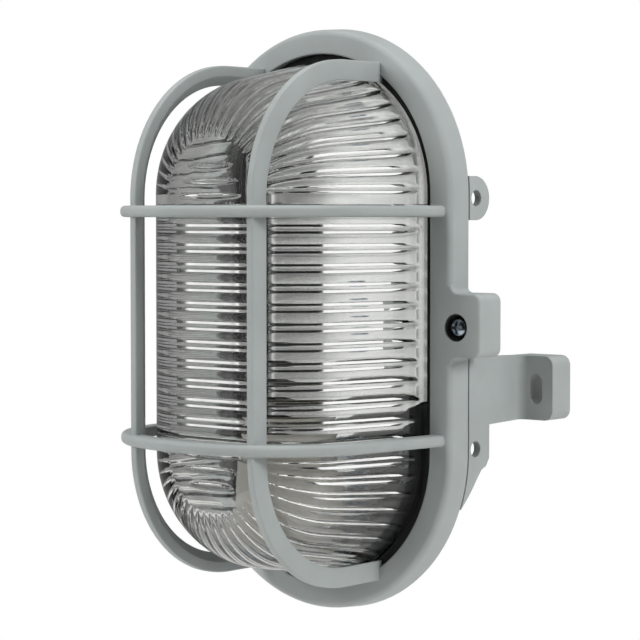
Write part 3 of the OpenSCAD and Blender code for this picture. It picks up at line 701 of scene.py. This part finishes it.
# %% Moulded grey ABS
abs_grey, tree, where = new_finish("moulded_grey_abs", {"IOR": 1.53})
tone = noise(tree, where, 30, 4, 0.55)
grain = noise(tree, where, 0.5, 2)
feed(
    tree,
    Base_Color=two_tone(tree, tone, "#9FA5A4", "#A8AEAD", 0.35, 0.65),
    Roughness=between(tree, grain, 0.4, 0.54),
    Normal=relief(tree, grain, 0.12, 0.08, soft_edge(tree, 0.5)),
)

# %% [markdown]
# Pressed soda-lime glass is clear, with hardly any colour. Its surface ripples a little from the mould.

# %% Pressed clear glass
pressed_glass, tree, where = new_finish(
    "pressed_clear_glass", {"Base Color": linear("#FDFDFC"), "Transmission Weight": 1, "IOR": 1.51},
)
ripple = noise(tree, where, 7, 2)
feed(tree, Roughness=between(tree, ripple, 0.0, 0.02), Normal=relief(tree, ripple, 0.05, 0.3))

# %% [markdown]
# The reflector is bright rolled aluminium: fine lines run along the sheet and spread reflections a little.
# The sheet is slightly hollow across its width, too little to show as a shape, so its normal is tilted.

# %% Bright rolled aluminium
LINE_STRETCH = 0.02
HOLLOW = -2.5
bright_sheet, tree, where = new_finish("bright_rolled_aluminium", {"Metallic": 1})
stretch = add(tree, "ShaderNodeMapping", {"Scale": (1, 1, LINE_STRETCH)}, {"Vector": where})
lines = noise(tree, stretch.outputs["Vector"], 0.8, 2)
cloud = noise(tree, where, 25, 3)
across = add(tree, "ShaderNodeSeparateXYZ", {}, {"Vector": where})
tilt = add(tree, "ShaderNodeMath", {1: HOLLOW}, {0: across.outputs["X"]}, operation="MULTIPLY")
lean = add(tree, "ShaderNodeCombineXYZ", {}, {"X": tilt.outputs["Value"]})
facing = add(tree, "ShaderNodeNewGeometry")
dished = add(
    tree, "ShaderNodeVectorMath", {},
    {0: facing.outputs["Normal"], 1: lean.outputs["Vector"]}, operation="ADD",
)
dished = add(tree, "ShaderNodeVectorMath", {}, {0: dished.outputs["Vector"]}, operation="NORMALIZE")
feed(
    tree,
    Base_Color=two_tone(tree, cloud, "#E2E4E4", "#F0F1F0"),
    Roughness=between(tree, lines, 0.07, 0.14),
    Normal=relief(tree, lines, 0.06, 0.02, dished.outputs["Vector"]),
)

# %% [markdown]
# Screws, pin and bracket are zinc-plated steel, a little blue, with the soft blotches of the plating bath.

# %% Zinc-plated steel
zinc, tree, where = new_finish("zinc_plated_steel", {"Metallic": 1})
blotch = noise(tree, where, 2.5, 4)
feed(
    tree,
    Base_Color=two_tone(tree, blotch, "#93A2B0", "#BCC7D1", 0.3, 0.7),
    Roughness=between(tree, blotch, 0.16, 0.32),
    Normal=relief(tree, blotch, 0.1, 0.05, soft_edge(tree, 0.25)),
)

# %% [markdown]
# The lampholder is glazed porcelain: off-white, with a thin wet-looking glaze that pools and thins.

# %% Glazed porcelain
porcelain, tree, where = new_finish(
    "glazed_porcelain", {"Coat Weight": 0.6, "Coat Roughness": 0.08, "Roughness": 0.35},
)
pool = noise(tree, where, 9, 3)
feed(
    tree,
    Base_Color=two_tone(tree, pool, "#E4E1D8", "#F3F1EA"),
    Normal=relief(tree, pool, 0.08, 0.3, soft_edge(tree, 0.6)),
)

# %% [markdown]
# Black parts: a grained polypropylene sheet over the wiring, and dull EPDM rubber for seal, grommet and the
# screw's cup, whose black is painted shade in the seat.

# %% Black polypropylene and rubber
def black_finish(name, dark, pale, grain_size, low, high):
    material, tree, where = new_finish(name)
    dust = noise(tree, where, 12, 4)
    feed(
        tree,
        Base_Color=two_tone(tree, dust, dark, pale),
        Roughness=between(tree, dust, low, high),
        Normal=relief(tree, noise(tree, where, grain_size, 3), 0.2, 0.06),
    )
    return material


black_sheet = black_finish("grained_black_polypropylene", "#141516", "#1E1F21", 0.6, 0.4, 0.55)
rubber = black_finish("dull_epdm_rubber", "#191919", "#262626", 0.35, 0.7, 0.88)

# %% [markdown]
# Contacts, shell, tubes and insert are brass that has dulled a little, darker where it is stained.

# %% Dulled brass
brass, tree, where = new_finish("dulled_brass", {"Metallic": 1})
stain = noise(tree, where, 3, 5)
feed(
    tree,
    Base_Color=two_tone(tree, stain, "#A98643", "#D8B468", 0.3, 0.7),
    Roughness=between(tree, stain, 0.45, 0.22),
)

# %% [markdown]
# The terminal block and the cable clamp are natural nylon, milky and slightly waxy.
# The two wires have PVC sleeves, brown for live and blue for neutral.

# %% Nylon and wire sleeves
def plain_plastic(name, dark, pale, cloud_size, low, high):
    material, tree, where = new_finish(name)
    cloud = noise(tree, where, cloud_size, 3)
    feed(
        tree,
        Base_Color=two_tone(tree, cloud, dark, pale),
        Roughness=between(tree, cloud, low, high),
        Normal=soft_edge(tree, 0.3, samples=4),
    )
    return material


nylon = plain_plastic("natural_nylon", "#DAD6C6", "#E8E5D8", 8, 0.42, 0.56)
brown_pvc = plain_plastic("brown_pvc_sleeve", "#54301B", "#653B22", 4, 0.3, 0.42)
blue_pvc = plain_plastic("blue_pvc_sleeve", "#1D4C9A", "#2759AC", 4, 0.3, 0.42)
print("finishes:", len(bpy.data.materials))

# %% [markdown]
# ## Dress the pieces
# Each solid takes the finish that the record names for it, and the new pieces take theirs.

# %% Give out the finishes
finish_of = {
    "guard_plastic": abs_grey, "base_plastic": abs_grey, "clear_glass": pressed_glass,
    "black_rubber": rubber, "polished_aluminium": bright_sheet, "zinc_steel": zinc,
    "black_plastic": black_sheet, "porcelain": porcelain, "brass": brass,
    "white_nylon": nylon, "brown_sleeve": brown_pvc, "blue_sleeve": blue_pvc,
}
for part in frame["record"]["subparts"]:
    mesh = nodes[part["node"]].data
    mesh.materials.clear()
    mesh.materials.append(finish_of[part["material_slot"]])
# The cup's black rubber is painted shade in the screw's seat.
for piece, material in ((guard, abs_grey), (glass, pressed_glass), (screw, zinc), (shade_cup, rubber)):
    piece.data.materials.clear()
    piece.data.materials.append(material)

# %% [markdown]
# ## Studio
# The photograph has a plain white ground and soft light, stronger from the right and from above.
# The floor is pale, round and well below the light.

# %% Floor
FLOOR_RADIUS = 0.7
FLOOR_LEVEL = -0.3
bpy.ops.object.select_all(action="DESELECT")
bpy.ops.mesh.primitive_circle_add(
    vertices=96, radius=FLOOR_RADIUS, fill_type="NGON", location=(0, 0, FLOOR_LEVEL),
)
floor = bpy.context.object
floor.name = "floor"
place(floor)
pale_floor = new_finish("pale_floor", {"Base Color": linear("#F2F2F0"), "Roughness": 0.9})[0]
floor.data.materials.append(pale_floor)
print("floor:", in_mm(floor))

# %% [markdown]
# The world is white to the camera and a quieter grey as a light, weaker in front than behind.
# Metal and glass see the white ground behind too, a grey side to the left, and in front the dark of the room
# with one bright window at the left. That room is what gives the ribs their white and black lines.
# Each side of the room has a direction, a level, and two cosines: where it begins and where it is full.

# %% Sides of the room
WHITE = 1.0
ROOM = 0.28
CEILING = (0.5, 0.75, 0.9)
SIDES = {
    "window": ((-0.848, -0.53, 0), WHITE, 0.915, 0.94),
    "wall beside the window": ((-0.966, -0.259, 0), 0.3, 0.82, 0.92),
    "dark of the room": ((0.64, -0.77, 0), 0.02, 0.5, 0.75),
    "ground behind": ((0, 1, 0), WHITE, -0.02, 0.06),
    "left side": ((-0.9, 0.43, 0), 0.3, 0.55, 0.8),
}
world = bpy.data.worlds.new("studio")
bpy.context.scene.world = world
world.use_nodes = True
tree = world.node_tree
rays = add(tree, "ShaderNodeLightPath")
toward = add(tree, "ShaderNodeTexCoord").outputs["Generated"]
split = add(tree, "ShaderNodeSeparateXYZ", {}, {"Vector": toward})
steep = add(tree, "ShaderNodeMath", {}, {0: split.outputs["Z"]}, operation="ABSOLUTE")
flat_way = add(tree, "ShaderNodeVectorMath", {1: (1, 1, 0)}, {0: toward}, operation="MULTIPLY")
flat_way = add(tree, "ShaderNodeVectorMath", {}, {0: flat_way.outputs["Vector"]}, operation="NORMALIZE")


def glow(under, level, low, high, source):
    """One brighter or darker side of the room over what is there already."""
    share = add(
        tree, "ShaderNodeMapRange", {"From Min": low, "From Max": high}, {"Value": source},
        interpolation_type="SMOOTHSTEP",
    )
    mixed = add(tree, "ShaderNodeMix", {"B": level}, {"Factor": share.outputs["Result"], "A": under})
    return mixed.outputs["Result"]


grey = add(tree, "ShaderNodeValue")
room = grey.outputs["Value"]
room.default_value = ROOM
for direction, level, low, high in SIDES.values():
    nearness = add(
        tree, "ShaderNodeVectorMath", {1: direction}, {0: flat_way.outputs["Vector"]},
        operation="DOT_PRODUCT",
    )
    room = glow(room, level, low, high, nearness.outputs["Value"])
room = glow(room, *CEILING, steep.outputs["Value"])
print("sides of the room:", ", ".join(SIDES))

# %% What each ray sees
SOFT_FRONT = 0.12
SOFT_BACK = 0.36
soft = add(
    tree, "ShaderNodeMapRange", {"From Min": -1, "From Max": 1, "To Min": SOFT_FRONT, "To Max": SOFT_BACK},
    {"Value": split.outputs["Y"]},
)
mirrored = add(
    tree, "ShaderNodeMath", {}, {0: rays.outputs["Is Glossy Ray"], 1: rays.outputs["Is Transmission Ray"]},
    operation="ADD", use_clamp=True,
)
light = add(
    tree, "ShaderNodeMix", {},
    {"Factor": mirrored.outputs["Value"], "A": soft.outputs["Result"], "B": room},
)
strength = add(
    tree, "ShaderNodeMix", {"B": WHITE},
    {"Factor": rays.outputs["Is Camera Ray"], "A": light.outputs["Result"]},
)
backdrop = tree.nodes["Background"]
backdrop.inputs["Color"].default_value = (1, 1, 1, 1)
tree.links.new(strength.outputs["Result"], backdrop.inputs["Strength"])
print("world nodes:", len(tree.nodes))

# %% [markdown]
# Four soft lamps light the plastic. They don't show in metal or glass, which have the room to show.

# %% Lamps
AIM = Vector((0, -0.06, 0))
for name, spot, size, power in (
    ("right lamp", (1.1, -0.03, 0.45), 0.4, 7.4),
    ("top lamp", (0.1, -0.1, 1.2), 0.8, 6.6),
    ("left lamp", (-0.75, -0.85, 0.75), 0.8, 6.5),
    ("front lamp", (-0.35, -1.1, 0.5), 0.5, 5.6),
):
    bpy.ops.object.select_all(action="DESELECT")
    bpy.ops.object.light_add(type="AREA", location=spot)
    lamp = bpy.context.object
    lamp.name = name
    lamp.data.size = size
    lamp.data.energy = power
    lamp.rotation_euler = (AIM - Vector(spot)).to_track_quat("-Z", "Y").to_euler()
    lamp.visible_glossy = False
    lamp.visible_transmission = False
    print(name, "of", power, "W")

bpy.context.scene.view_settings.view_transform = "Standard"
